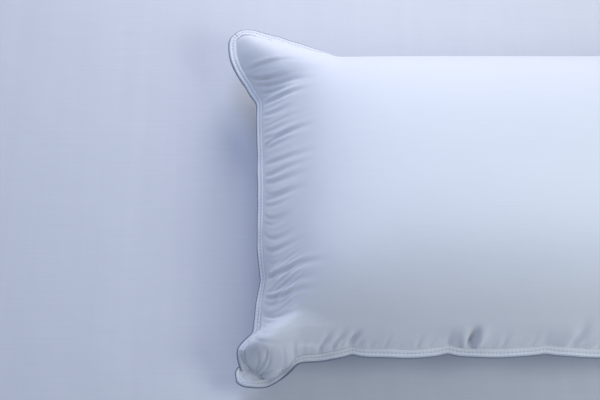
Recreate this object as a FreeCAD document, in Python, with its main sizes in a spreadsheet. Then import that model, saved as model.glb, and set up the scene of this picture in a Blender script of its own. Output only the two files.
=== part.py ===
"""Bed pillow: a cushion of two cotton panels, stuffed with down and sewn together along an edge
that is bound with folded tape. Millimetres, +Z up. The origin is on the surface that the pillow
lies on, under the middle of its bounding box; +X is the long way. The panels, the filling, the
binding, the piping, the sewing threads and the care label are separate pieces.
"""
import FreeCAD, Part
import math
import os
import re

import Sketcher

V = FreeCAD.Vector

# Driving dimensions: alias, value in mm (a fullness is a plain exponent), what it is.
DIMENSIONS = [
    ("waist_length", 664, "sew line to sew line across the middle, the long way"),
    ("waist_depth", 396, "sew line to sew line across the middle, the short way"),
    ("long_side_radius", 1750, "the long sides curve inwards between the corners"),
    ("short_side_radius", 900, "and so do the short sides"),
    ("corner_radius", 13, "of the sew line"),
    ("seam_height", 78, "height of the edge above the bed"),
    ("crown_rise", 112, "top of the pillow above the edge"),
    ("belly_drop", 94, "how far the underside would hang below the edge with no bed"),
    ("length_fullness", 5, "exponent of the crown's profile along the pillow"),
    ("depth_fullness", 3, "exponent of the crown's profile across the pillow"),
    ("rim_rise", 1.6, "height of the crown above the edge at the sew line"),
    ("cloth", 0.8, "thickness of the ticking"),
    ("fill_gap", 0.4, "between the ticking and the filling"),
    ("touch_gap", 0.02, "left between pieces that lie against each other"),
    ("allowance", 8, "width of the seam allowance inside the binding"),
    ("tape_width", 10, "width of the folded binding"),
    ("tape", 0.7, "thickness of one ply of the binding"),
    ("tape_room", 0.6, "from the seam allowance to a ply of the binding"),
    ("tape_clear", 0.3, "from the crown to the binding"),
    ("fold_radius", 1.2, "rounding of the binding's folded edge"),
    ("piping_radius", 1, "piping along the binding's folded edge"),
    ("thread_radius", 0.25, "needle and bobbin threads"),
    ("topstitch_inset", 5, "from the sew line to the row of topstitching"),
    ("seam_inset", 2.5, "from the sew line to the seam that joins the panels"),
    ("closing_inset", 4, "from the sew line to the stitches that close the filling opening"),
    ("closing_length", 240, "length of the filling opening, in a short side"),
    ("label_width", 38, "along the edge"),
    ("label_drop", 46, "how far the label hangs"),
    ("label_cloth", 0.4, "thickness of the label"),
    ("label_inset", 1, "from the sew line to the label"),
    ("label_place", 130, "from the middle of the short side to the label"),
]
ALIASES = {alias for alias, value, meaning in DIMENSIONS}

# Heights of the layers at the edge, from the seam outwards, as sums of driving dimensions.
ALLOWANCE_TOP = "touch_gap / 2 + cloth"
TAPE_INSIDE = "touch_gap / 2 + cloth + tape_room"
TAPE_OUTSIDE = "touch_gap / 2 + cloth + tape_room + tape"

GRID = (61, 41)  # heights that each crown surface passes through, along and across
OVERSIZE = 25  # mm, how far forms and surfaces reach past the pillow, for clean cuts

doc = FreeCAD.newDocument("bed_pillow")
sheet = doc.addObject("Spreadsheet::Sheet", "Sizes")
for row, (alias, value, meaning) in enumerate(DIMENSIONS, start=1):
    sheet.set(f"A{row}", meaning)
    sheet.set(f"B{row}", str(value))
    sheet.setAlias(f"B{row}", alias)
doc.recompute()


def size(expression):
    """The value of a driving dimension, or of a sum of them, as a plain number."""
    return float(sheet.evalExpression(str(expression)))


def bind(thing, target, expression):
    """Ties a property or a sketch constraint to a sum of driving dimensions."""
    word = re.compile(r"[a-z]\w*")
    full = word.sub(lambda m: f"Sizes.{m[0]}" if m[0] in ALIASES else m[0], str(expression))
    thing.setExpression(target, full)


# ---- the outline: side arcs that curve inwards, and an arc round each corner --------------------


def side_centres():
    """How far the centres of the long and of the short side arcs lie from the middle."""
    return (
        size("waist_depth / 2 + long_side_radius"),
        size("waist_length / 2 + short_side_radius"),
    )


def corner_centre():
    """Centre of the corner arc that touches a long and a short side arc, in the +X +Y quarter."""
    far_y, far_x = side_centres()
    to_long = size("long_side_radius + corner_radius")
    to_short = size("short_side_radius + corner_radius")
    apart = math.hypot(far_x, far_y)
    along = (to_long**2 - to_short**2 + apart**2) / (2 * apart)
    across = math.sqrt(to_long**2 - along**2)
    return (
        (along * far_x - across * far_y) / apart,
        far_y - (along * far_y + across * far_x) / apart,
    )


def outline_arcs(offset):
    """The outline, offset outwards from the sew line: eight arcs, anticlockwise from the +X side."""
    far_y, far_x = side_centres()
    centre_x, centre_y = corner_centre()
    long_radius = size("long_side_radius") - offset
    short_radius = size("short_side_radius") - offset
    corner_radius = size("corner_radius") + offset
    to_short = math.atan2(centre_y, far_x - centre_x)
    to_long = math.atan2(centre_x, far_y - centre_y)
    arcs = []
    for turn, sign in ((0, 1), (math.pi, -1)):
        short_middle, long_middle = turn + math.pi, turn + 1.5 * math.pi
        near, far = turn - to_short, turn + 0.5 * math.pi + to_long
        arcs += [
            (V(sign * far_x, 0, 0), short_radius, short_middle - to_short, short_middle + to_short),
            (V(sign * centre_x, sign * centre_y, 0), corner_radius, near, far),
            (V(0, sign * far_y, 0), long_radius, long_middle - to_long, long_middle + to_long),
            (V(-sign * centre_x, sign * centre_y, 0), corner_radius,
             far - 2 * to_long, near + 2 * to_short + math.pi),
        ]
    return [Part.ArcOfCircle(Part.Circle(c, V(0, 0, 1), r), a, b) for c, r, a, b in arcs]


def constrain(sketch, name, expression, kind, *where):
    """Adds a dimension to a sketch and ties it to the sheet."""
    index = sketch.addConstraint(Sketcher.Constraint(kind, *where, size(expression)))
    sketch.renameConstraint(index, name)
    bind(sketch, f"Constraints.{name}", expression)


def add_outline(sketch, tag, offset):
    """Draws the outline at an offset from the sew line, with every arc tied to the sheet."""
    first = len(sketch.Geometry)
    sketch.addGeometry(outline_arcs(size(offset)), False)
    arcs = [first + k for k in range(8)]
    for k in (1, 3, 5, 7):
        sketch.addConstraint(Sketcher.Constraint("Tangent", arcs[k], 1, arcs[k - 1], 1))
        sketch.addConstraint(Sketcher.Constraint("Tangent", arcs[k], 2, arcs[(k + 1) % 8], 2))
    for one, other in ((1, 3), (1, 5), (1, 7), (0, 4), (2, 6)):
        sketch.addConstraint(Sketcher.Constraint("Equal", arcs[one], arcs[other]))
    for k, axis in ((0, -1), (4, -1), (2, -2), (6, -2)):
        sketch.addConstraint(Sketcher.Constraint("PointOnObject", arcs[k], 3, axis))
    constrain(sketch, f"{tag}_corner", f"corner_radius + ({offset})", "Radius", arcs[1])
    constrain(sketch, f"{tag}_short", f"short_side_radius - ({offset})", "Radius", arcs[0])
    constrain(sketch, f"{tag}_long", f"long_side_radius - ({offset})", "Radius", arcs[2])
    far_x, far_y = "waist_length / 2 + short_side_radius", "waist_depth / 2 + long_side_radius"
    constrain(sketch, f"{tag}_right", far_x, "DistanceX", -1, 1, arcs[0], 3)
    constrain(sketch, f"{tag}_left", far_x, "DistanceX", arcs[4], 3, -1, 1)
    constrain(sketch, f"{tag}_back", far_y, "DistanceY", -1, 1, arcs[2], 3)
    constrain(sketch, f"{tag}_front", far_y, "DistanceY", arcs[6], 3, -1, 1)
    return arcs


# ---- building blocks ----------------------------------------------------------------------------


def new_body(name):
    body = doc.addObject("PartDesign::Body", name)
    body.Label = name
    return body


def new_sketch(body, name, plane, height="0"):
    """A sketch on one of the body's own planes, moved along the plane's normal."""
    base = [f for f in body.Origin.OriginFeatures if f.Role == plane][0]
    sketch = body.newObject("Sketcher::SketchObject", name)
    sketch.AttachmentSupport = [(base, "")]
    sketch.MapMode = "FlatFace"
    bind(sketch, "AttachmentOffset.Base.z", height)
    return sketch


def add_pad(body, name, offsets, bottom, top):
    """A pad between two heights, with one outline round it and, if given, one inside it."""
    sketch = new_sketch(body, f"{name}_sketch", "XY_Plane", bottom)
    for tag, offset in zip(("outer", "inner"), offsets):
        add_outline(sketch, tag, offset)
    doc.recompute()
    pad = body.newObject("PartDesign::Pad", name)
    pad.Profile = sketch
    bind(pad, "Length", f"({top}) - ({bottom})")
    doc.recompute()
    return pad


def slab(name, offset, bottom, top):
    """A body with the outline's shape, between two heights."""
    body = new_body(name)
    add_pad(body, f"{name}_pad", [offset], bottom, top)
    return body


def cord_ring(name, offset, height, radius):
    """A cord or thread that runs all round the pillow, at an offset from the sew line."""
    body = new_body(name)
    path = new_sketch(body, f"{name}_path", "XY_Plane", height)
    arcs = add_outline(path, "path", offset)
    profile = new_sketch(body, f"{name}_profile", "XZ_Plane")
    x, z = size(f"waist_length / 2 + ({offset})"), size(height)
    profile.addGeometry(Part.Circle(V(x, z, 0), V(0, 0, 1), size(radius)), False)
    constrain(profile, "radius", radius, "Radius", 0)
    constrain(profile, "x", f"waist_length / 2 + ({offset})", "DistanceX", -1, 1, 0, 3)
    constrain(profile, "z", height, "DistanceY", -1, 1, 0, 3)
    doc.recompute()
    pipe = body.newObject("PartDesign::AdditivePipe", f"{name}_pipe")
    pipe.Profile = profile
    pipe.Spine = (path, [f"Edge{k + 1}" for k in arcs])
    doc.recompute()
    return body


def side_body(name, turn="0"):
    """A body whose own Z axis is the axis of the +X side's arc, turned about it."""
    body = new_body(name)
    bind(body, "Placement.Base.x", "waist_length / 2 + short_side_radius")
    bind(body, "Placement.Rotation.Angle", turn)
    return body


def revolve_along_side(body, name, sketch, length):
    """Sweeps a section along the +X side's arc, half of the length each way."""
    revolution = body.newObject("PartDesign::Revolution", name)
    revolution.Profile = sketch
    revolution.ReferenceAxis = ([f for f in body.Origin.OriginFeatures if f.Role == "Z_Axis"][0], [""])
    revolution.Midplane = True
    bind(revolution, "Angle", f"({length}) / short_side_radius * 180 / pi")
    doc.recompute()


def boolean(kind, name, *parts):
    made = doc.addObject(f"Part::{kind}", name)
    made.Label = name
    made.Shapes = list(parts)
    doc.recompute()
    return made


def cut(name, base, tool):
    made = doc.addObject("Part::Cut", name)
    made.Label = name
    made.Base, made.Tool = base, tool
    doc.recompute()
    return made


def swell(x, y, inset):
    """The crown's height over a point, as a share of its full rise: one in the middle, none at the edge."""
    far_y, far_x = side_centres()
    half_length = far_x - math.sqrt(size("short_side_radius")**2 - y * y) - inset
    half_depth = far_y - math.sqrt(size("long_side_radius")**2 - x * x) - inset
    along = 1 - abs(x / half_length) ** size("length_fullness")
    across = 1 - abs(y / half_depth) ** size("depth_fullness")
    return along * across


def crown_form(name, base, rise, inset):
    """All that lies on the inner side of a crown surface, as a solid to intersect with."""
    far_x, far_y = corner_centre()
    far_x += OVERSIZE
    far_y += OVERSIZE
    step_x, step_y = 2 * far_x / (GRID[0] - 1), 2 * far_y / (GRID[1] - 1)
    heights = [
        [base + rise * swell(i * step_x - far_x, j * step_y - far_y, inset) for j in range(GRID[1])]
        for i in range(GRID[0])
    ]
    surface = Part.BSplineSurface()
    surface.interpolate(heights, -far_x, step_x, -far_y, step_y)
    face = doc.addObject("Part::Feature", f"{name}_surface")
    face.Shape = surface.toShape()
    form = doc.addObject("Part::Extrusion", name)
    form.Base = face
    form.DirMode = "Custom"
    form.Dir = V(0, 0, -1 if rise > 0 else 1)
    form.LengthFwd = 4 * abs(rise)
    form.Solid = True
    doc.recompute()
    return form


# ---- the two panels, each a crown with a seam allowance round it --------------------------------

TOP = "seam_height + rim_rise + crown_rise"


def top_form(name, inset):
    inset = size(inset)
    return crown_form(name, size("seam_height + rim_rise") - inset, size("crown_rise"), inset)


def belly_form(name, inset):
    inset = size(inset)
    return crown_form(name, size("seam_height - rim_rise") + inset, -size("belly_drop"), inset)


def make_top_panel():
    seam = "seam_height + touch_gap / 2"
    outside = boolean("MultiCommon", "top_outside",
                      slab("top_outside_slab", "0", seam, f"{TOP} + {OVERSIZE}"),
                      top_form("top_outside_form", "0"))
    flange = slab("top_allowance", "allowance", seam, f"seam_height + {ALLOWANCE_TOP}")
    filled = boolean("MultiFuse", "top_filled", outside, flange)
    inside = boolean("MultiCommon", "top_inside",
                     slab("top_inside_slab", "-cloth", f"seam_height - {OVERSIZE}", f"{TOP} + {OVERSIZE}"),
                     top_form("top_inside_form", "cloth"))
    return cut("shell_top_panel", filled, inside)


def make_bottom_panel():
    seam = "seam_height - touch_gap / 2"
    outside = boolean("MultiCommon", "belly_outside",
                      slab("belly_outside_slab", "0", "0", seam),
                      belly_form("belly_outside_form", "0"))
    flange = slab("bottom_allowance", "allowance", f"seam_height - ({ALLOWANCE_TOP})", seam)
    filled = boolean("MultiFuse", "bottom_filled", outside, flange)
    inside = boolean("MultiCommon", "belly_inside",
                     slab("belly_inside_slab", "-cloth", "cloth", f"seam_height + {OVERSIZE}"),
                     belly_form("belly_inside_form", "cloth"))
    return cut("shell_bottom_panel", filled, inside)


def make_filling():
    inset = "cloth + fill_gap"
    return boolean("MultiCommon", "fill_core",
                   slab("filling_slab", f"-({inset})", inset, TOP),
                   top_form("filling_top_form", inset),
                   belly_form("filling_belly_form", inset))


# ---- the edge: binding, piping, threads, label --------------------------------------------------


def make_binding():
    """Tape folded round both allowances: a ply below, a ply above and the fold that joins them."""
    body = new_body("edge_binding")
    low, high = f"seam_height - ({TAPE_OUTSIDE})", f"seam_height + {TAPE_OUTSIDE}"
    add_pad(body, "lower_ply", ["tape_width", "tape_clear"], low, f"seam_height - ({TAPE_INSIDE})")
    add_pad(body, "fold", ["tape_width", "tape_width - tape"], low, high)
    pad = add_pad(body, "upper_ply", ["tape_width", "tape_clear"], f"seam_height + {TAPE_INSIDE}", high)
    rims = [f"Edge{n}" for n, edge in enumerate(pad.Shape.Edges, start=1) if is_fold_rim(edge)]
    fillet = body.newObject("PartDesign::Fillet", "fold_rounding")
    fillet.Base = (pad, rims)
    bind(fillet, "Radius", "fold_radius")
    doc.recompute()
    return body


def is_fold_rim(edge):
    """True on the outermost outline, on the upper or the lower face of the folded tape."""
    middle = edge.valueAt((edge.FirstParameter + edge.LastParameter) / 2)
    level = abs(abs(middle.z - size("seam_height")) - size(TAPE_OUTSIDE)) < 1e-3
    flat = abs(edge.BoundBox.ZLength) < 1e-3
    rim = Part.Wire([arc.toShape() for arc in outline_arcs(size("tape_width"))])
    away = rim.distToShape(Part.Vertex(middle.x, middle.y, 0))[0]
    return level and flat and away < 1e-3


def make_rings():
    """The piping, the topstitching through the binding, and the seam hidden inside it."""
    on_tape = f"{TAPE_OUTSIDE} + touch_gap + thread_radius"
    on_allowance = f"{ALLOWANCE_TOP} + touch_gap + thread_radius"
    return [
        cord_ring("edge_piping", "tape_width + touch_gap + piping_radius", "seam_height", "piping_radius"),
        cord_ring("topstitch_needle_thread", "topstitch_inset",
                  f"seam_height + {on_tape}", "thread_radius"),
        cord_ring("topstitch_bobbin_thread", "topstitch_inset",
                  f"seam_height - ({on_tape})", "thread_radius"),
        cord_ring("seam_needle_thread", "seam_inset", f"seam_height + {on_allowance}", "thread_radius"),
        cord_ring("seam_bobbin_thread", "seam_inset", f"seam_height - ({on_allowance})", "thread_radius"),
    ]


def make_closing_stitches():
    """One line of thread on the upper allowance, along the opening that the filling went in by."""
    body = side_body("closing_stitches")
    sketch = new_sketch(body, "closing_section", "XZ_Plane")
    height = f"seam_height + {ALLOWANCE_TOP} + touch_gap + thread_radius"
    out = "short_side_radius - closing_inset"
    centre = V(-size(out), size(height), 0)
    sketch.addGeometry(Part.Circle(centre, V(0, 0, 1), size("thread_radius")), False)
    constrain(sketch, "radius", "thread_radius", "Radius", 0)
    constrain(sketch, "out", out, "DistanceX", 0, 3, -1, 1)
    constrain(sketch, "height", height, "DistanceY", -1, 1, 0, 3)
    doc.recompute()
    revolve_along_side(body, "closing_run", sketch, "closing_length")
    return body


def make_label():
    """A blank strip of cloth that hangs below the binding and follows the side's curve."""
    body = side_body("care_label", "label_place / short_side_radius * 180 / pi")
    sketch = new_sketch(body, "label_section", "XZ_Plane")
    out = "short_side_radius - label_inset"
    top = f"seam_height - ({TAPE_OUTSIDE}) - touch_gap"
    near, far = -size(out), -size(out) + size("label_cloth")
    high, low = size(top), size(f"{top} - label_drop")
    corners = [V(near, low, 0), V(far, low, 0), V(far, high, 0), V(near, high, 0)]
    for k in range(4):
        sketch.addGeometry(Part.LineSegment(corners[k], corners[(k + 1) % 4]), False)
    for k in range(4):
        sketch.addConstraint(Sketcher.Constraint("Coincident", k, 2, (k + 1) % 4, 1))
        sketch.addConstraint(Sketcher.Constraint("Vertical" if k % 2 else "Horizontal", k))
    constrain(sketch, "out", out, "DistanceX", 0, 1, -1, 1)
    constrain(sketch, "cloth", "label_cloth", "DistanceX", 0, 1, 0, 2)
    constrain(sketch, "top", top, "DistanceY", -1, 1, 2, 1)
    constrain(sketch, "drop", "label_drop", "DistanceY", 1, 1, 1, 2)
    doc.recompute()
    revolve_along_side(body, "label_strip", sketch, "label_width")
    return body


# ---- build, check, write ------------------------------------------------------------------------

pieces = [make_top_panel(), make_bottom_panel(), make_filling(), make_binding(), *make_rings(),
          make_closing_stitches(), make_label()]
doc.recompute()

for thing in doc.Objects:
    assert not {"Invalid", "Error"} & set(thing.State), f"{thing.Name}: {thing.State}"
    if thing.isDerivedFrom("Sketcher::SketchObject"):
        assert thing.solve() == 0, f"{thing.Name} does not solve"
for piece in pieces:
    shape = piece.Shape
    assert not shape.isNull() and shape.isValid(), f"{piece.Label} has no valid shape"
    assert len(shape.Solids) == 1, f"{piece.Label} has {len(shape.Solids)} solids"

os.makedirs("parts", exist_ok=True)
for piece in pieces:
    shape = piece.Shape
    shape.exportStep(f"parts/{piece.Label}.step")
    box = shape.BoundBox
    print(f"{piece.Label:26s} {shape.Volume / 1000:10.2f} cm3  x {box.XMin:8.2f} {box.XMax:8.2f}"
          f"  y {box.YMin:8.2f} {box.YMax:8.2f}  z {box.ZMin:7.2f} {box.ZMax:7.2f}")
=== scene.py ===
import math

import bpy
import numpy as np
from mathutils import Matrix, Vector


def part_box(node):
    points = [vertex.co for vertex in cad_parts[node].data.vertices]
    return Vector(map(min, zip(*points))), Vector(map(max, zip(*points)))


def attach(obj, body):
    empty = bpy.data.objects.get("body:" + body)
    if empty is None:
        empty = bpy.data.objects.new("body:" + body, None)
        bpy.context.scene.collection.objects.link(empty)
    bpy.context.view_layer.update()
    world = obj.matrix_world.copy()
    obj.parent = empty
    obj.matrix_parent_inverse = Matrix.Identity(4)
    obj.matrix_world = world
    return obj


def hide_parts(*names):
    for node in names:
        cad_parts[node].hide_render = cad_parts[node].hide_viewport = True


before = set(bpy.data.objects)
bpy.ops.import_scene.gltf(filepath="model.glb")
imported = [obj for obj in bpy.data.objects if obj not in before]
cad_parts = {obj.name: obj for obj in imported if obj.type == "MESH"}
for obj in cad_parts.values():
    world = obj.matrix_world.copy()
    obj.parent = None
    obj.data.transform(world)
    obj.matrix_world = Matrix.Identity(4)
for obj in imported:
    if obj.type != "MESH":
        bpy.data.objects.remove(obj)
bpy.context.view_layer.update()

# A plump bed pillow: two cotton panels relaxed as cloth over their filling, an edge bound with
# stitched tape and slim piping, the sewing threads, a blank care label and the down inside.
# Lengths in this script are millimetres, and MM turns them into Blender's metres.

MM = 0.001


def cad_box_mm(node):
    """Lowest and highest corner of a CAD node, in millimetres."""
    low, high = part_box(node)
    return np.array(low) / MM, np.array(high) / MM


def cad_waist(node):
    """How far a CAD node reaches along X and along Y across the middle, where the sides pull in."""
    points = np.array([v.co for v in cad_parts[node].data.vertices]) / MM
    near = 12
    along = np.abs(points[np.abs(points[:, 1]) < near, 0]).max()
    across = np.abs(points[np.abs(points[:, 0]) < near, 1]).max()
    return along, across


# ---- sizes, from the CAD ---------------------------------------------

TAPE = 10.0  # width of the folded binding
TAPE_HALF = 2.1  # half of its thickness, folded
PIPING_LOW, PIPING_HIGH = cad_box_mm("edge_piping")
PIPING_RADIUS = (PIPING_HIGH[2] - PIPING_LOW[2]) / 2
THREAD_LOW, THREAD_HIGH = cad_box_mm("topstitch_needle_thread")
THREAD_RADIUS = (THREAD_HIGH[2] - THREAD_LOW[2]) / 2
SEAM_HEIGHT = (PIPING_HIGH[2] + PIPING_LOW[2]) / 2
TOP_HEIGHT = cad_box_mm("shell_top_panel")[1][2]
EDGE = TAPE + 2 * PIPING_RADIUS  # from the sew line to the outside of the piping
WAIST = np.array(cad_waist("edge_piping")) - EDGE  # sew line, half length and half depth
CLOTH = 0.6  # thickness of the ticking
FLAT = np.array([742.0, 488.0])  # a panel between its sew lines, laid flat
FLAT_CORNER = 16.0  # radius of the sew line at the corners, laid flat

# ---- the pillow's shape before the cloth relaxes ---------------------

CROWN = TOP_HEIGHT - SEAM_HEIGHT - 1.5  # rise of the top over the edge
BELLY = 95.0  # how far the underside would hang below the edge, with no bed
FULL_ALONG, FULL_ACROSS = 4.0, 2.7  # how square the crown is along and across the pillow
HIP = 2.2  # how tightly the crown turns round towards a corner
EAR_SOFT = 3.0  # how softly a flare starts
STARTED = 20  # in multiples of EAR_SOFT, where the soft start is over

# Each ear, by the signs of its X and Y: where it starts to flare out, from the middle of the side,
# where it is widest, how far out that is and how rounded, on the short side and on the long side,
# and how far it hangs below the middle of the sides.
EARS = {
    (-1, 1): ((140, 222, 36, 1.8), (240, 350, 40, 1.0), 6),
    (-1, -1): ((176, 197, 16, 1.8), (288, 345, 21, 1.8), 14),
    (1, 1): ((146, 222, 29, 1.6), (240, 350, 33, 1.2), 10),
    (1, -1): ((150, 220, 30, 1.4), (250, 345, 31, 1.3), 14),
}
# The ear at the front left is bent: its tip lies low, under a roll that bulges over it.
BENT_REACH = np.array([44.0, 23.0])  # from the corner to the bend along the front and the left side
BENT_DROP = 30.0  # how far below the others its tip lies
BENT_ROLL = 16.0  # how far the roll stands up
BENT_TIP = (206, 218, 10)  # the tip stands out past the notch: start, end, how far
BENT_NOTCH = (205, 4, 2.5)  # the notch on the short side: place, half width, depth
# Where things start and end, as multiples of the distance from the corner to the bend:
BENT_STEP = (0.95, 1.7)  # the edge comes up again
BENT_FILLED = (0.9, 1.8)  # the ear fills out, from the nearly flat tip
ROLL_RISE, ROLL_FALL = (1.15, 1.7), (1.8, 4.5)
TIP_FULLNESS = 0.08  # how full the flat tip is
ROLL_EDGE = 0.05  # the roll starts a little above the edge, as a share of the crown
EAR_DROP_SPAN = (20, 260)  # an ear's drop, from the corner, measured along both sides together
FLARE_ROUNDS = 60  # the flares depend on the shape they make, so they are worked out in rounds

# ---- puckers ---------------------------------------------------------
# A pucker is a crease that starts at the seam and runs into the panel. Places are on the flat
# cloth: along the side from its middle, and inwards from the sew line.

PUCKER_SEED = 8
PUCKERS_START, PUCKERS_END = 60, 75  # no random creases this near the ends of a side


def smooth(value, low, high):
    """0 below low, 1 above high, and a smooth step between them."""
    t = np.clip((value - low) / (high - low), 0, 1)
    return t * t * (3 - 2 * t)


def make_puckers(rng, half_side, pitch, reach, depth, lean, fan):
    """Random creases along one side: (place, reach, depth, half width, sideways run)."""
    puckers = []
    place = -half_side + PUCKERS_START
    while place < half_side - PUCKERS_END:
        size = rng.uniform(0.3, 1)
        puckers.append((
            place,
            reach * rng.uniform(0.5, 1.15) * (0.5 + 0.5 * size),
            depth * size,
            rng.uniform(1.9, 2.9) + size,
            lean * rng.uniform(0.7, 1.2) + fan * place / half_side,
        ))
        place += pitch * rng.uniform(0.55, 1.5)
    return puckers


def pucker_depth(along, inwards, puckers):
    """How far the creases press the cloth in, at places on the flat cloth.

    Each is a valley between two low ridges that starts at the seam, bends sideways and fades out.
    """
    total = np.zeros_like(along)
    for place, reach, depth, width, run in puckers:
        line = place + run * (1 - np.exp(-np.maximum(inwards, 0) / (0.35 * reach)))
        t = (along - line) / (width * (0.6 + 0.8 * np.clip(inwards / reach, 0, 1)))
        across = (np.exp(-t * t) - 0.5 * np.exp(-((t - 1.6) / 1.1) ** 2)
                  - 0.25 * np.exp(-((t + 1.7) / 1.2) ** 2))
        fade = smooth(inwards, 0, 0.12 * reach) * (1 - smooth(inwards, 0.2 * reach, reach))
        total += depth * across * fade
    return total


# ---- the cloth on a grid ---------------------------------------------
# Both panels are grids over the flat cloth, [panel, row, column, xyz], that share their rim. The
# binding is a closed band of rings, [ring, rim point, xyz], whose first ring is that rim.

RING_AT = np.array([0.0, TAPE / 2, TAPE])  # where the rings lie, outwards from the sew line
PROFILE_SAMPLES = 2001  # along half a crown


def profile_places(power, rise, half, count):
    """Places across a crown, from -1 to 1, that are equally far apart along its surface."""
    u = np.linspace(0, 1, PROFILE_SAMPLES)
    steps = np.hypot(np.diff(u) * half, np.diff(rise * (1 - u**power)))
    travelled = np.concatenate([[0], np.cumsum(steps)])
    t = np.linspace(-1, 1, count)
    return np.sign(t) * np.interp(np.abs(t) * travelled[-1], travelled, u)


def rim_index(rows, columns):
    """Row and column of each rim point, anticlockwise from the front left corner."""
    row = np.concatenate([np.zeros(columns - 1, int), np.arange(rows - 1),
                          np.full(columns - 1, rows - 1), np.arange(rows - 1, 0, -1)])
    column = np.concatenate([np.arange(columns - 1), np.full(rows - 1, columns - 1),
                             np.arange(columns - 1, 0, -1), np.zeros(rows - 1, int)])
    return row, column


def flat_cloth(rows, columns):
    """The flat panel's grid, with rounded corners, and how much rounding moved each point."""
    square = np.stack(np.meshgrid(np.linspace(-1, 1, columns) * FLAT[0] / 2,
                                  np.linspace(-1, 1, rows) * FLAT[1] / 2), axis=2)
    past = np.abs(square) - (FLAT / 2 - FLAT_CORNER)
    in_corner = (past > 0).all(2)
    from_centre = np.maximum(np.hypot(past[..., 0], past[..., 1]), 1e-9)
    share = np.where(in_corner, past.max(2) / from_centre, 1)
    rounded = np.sign(square) * (np.abs(square) - past + past * share[..., None])
    flat = np.where(in_corner[..., None], rounded, square)
    moved = np.divide(flat, square, out=np.ones_like(flat), where=np.abs(square) > 1e-9)
    return flat, moved


def flare(x, y, side):
    """How far the ears push the short sides (side 0) or the long sides (side 1) out, at places."""
    total = np.zeros_like(x)
    for (sign_x, sign_y), ear in EARS.items():
        start, widest, far, roundness = ear[side]
        distance = ((y * sign_y, x * sign_x)[side] - start) / EAR_SOFT
        started = np.log1p(np.exp(np.minimum(distance, STARTED)))
        soft = EAR_SOFT * np.where(distance > STARTED, distance, started)
        t = np.clip(soft / (widest - start), 0, 1)
        total += np.where((x * sign_x >= 0) & (y * sign_y > 0), far * (1 - (1 - t) ** roundness), 0)
    if side == 0:
        start, end, far = BENT_TIP
        place, width, deep = BENT_NOTCH
        tip = far * smooth(-y, start, end) - deep * np.exp(-(((y + place) / width) ** 2))
        total += np.where(x < 0, tip, 0)
    return total


def soft_minimum(a, b):
    """The lesser of two heights from 0 to 1, rounded where they are near each other."""
    a, b = np.maximum(a, 1e-6), np.maximum(b, 1e-6)
    return ((a**-HIP + b**-HIP) / 2) ** (-1 / HIP)


def outward(points):
    """Unit vectors that point out of a closed line, level."""
    ahead = np.roll(points, -1, 0) - np.roll(points, 1, 0)
    out = np.stack([ahead[:, 1], -ahead[:, 0]], 1)
    return out / np.linalg.norm(out, axis=1)[:, None]


def grid_normals(grid):
    """A vector across each point of the grids whose length is the area of a cell there."""
    return np.cross(np.gradient(grid, axis=2), np.gradient(grid, axis=1))


def resting_shape(rows, columns):
    """The flat grid, and the shape of the plump pillow on both sides of it and along its edge."""
    flat, moved = flat_cloth(rows, columns)
    u, v = np.meshgrid(profile_places(FULL_ALONG, CROWN, WAIST[0], columns),
                       profile_places(FULL_ACROSS, CROWN, WAIST[1], rows))
    x, y = u * WAIST[0], v * WAIST[1]
    for _ in range(FLARE_ROUNDS):
        x, y = u * (WAIST[0] + flare(x, y, 0)), v * (WAIST[1] + flare(x, y, 1))
    x, y = x * moved[..., 0], y * moved[..., 1]
    to_corner = (FLAT / 2 - np.abs(flat)).sum(2)
    height = soft_minimum(1 - np.abs(u) ** FULL_ALONG, 1 - np.abs(v) ** FULL_ACROSS)
    bend = ((flat + FLAT / 2) / BENT_REACH).sum(2)  # 1 along the bend of the front left ear
    height *= TIP_FULLNESS + (1 - TIP_FULLNESS) * smooth(bend, *BENT_FILLED)
    edge = SEAM_HEIGHT - BENT_DROP * (1 - smooth(bend, *BENT_STEP))
    for (sign_x, sign_y), (_, _, drop) in EARS.items():
        hanging = drop * (1 - smooth(to_corner, *EAR_DROP_SPAN))
        edge -= np.where((x * sign_x > 0) & (y * sign_y > 0), hanging, 0)
    roll = BENT_ROLL * smooth(bend, *ROLL_RISE) * (1 - smooth(bend, *ROLL_FALL))
    roll = roll * smooth(height, 0, ROLL_EDGE)
    top = np.stack([x, y, edge + CROWN * height + roll], 2)
    bottom = np.stack([x, y, np.maximum(edge - BELLY * height, 0)], 2)
    goal = np.stack([top, bottom])
    rim_row, rim_column = rim_index(rows, columns)
    rim = goal[0, rim_row, rim_column]
    level_out = np.concatenate([outward(rim[:, :2]), np.zeros((len(rim), 1))], 1)
    rings = np.stack([rim + level_out * d for d in RING_AT])
    return flat, goal, rings


# ---- the cloth's relaxation: links between grid points keep the lengths of the flat cloth ----


def slices(count, step, group):
    """Pairs of slices that link every index to the one a step further, in sets that don't overlap."""
    for start in range(group):
        length = len(range(start, count - step, group))
        if length:
            yield (slice(start, start + group * length, group),
                   slice(start + step, start + step + group * length, group))


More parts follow.
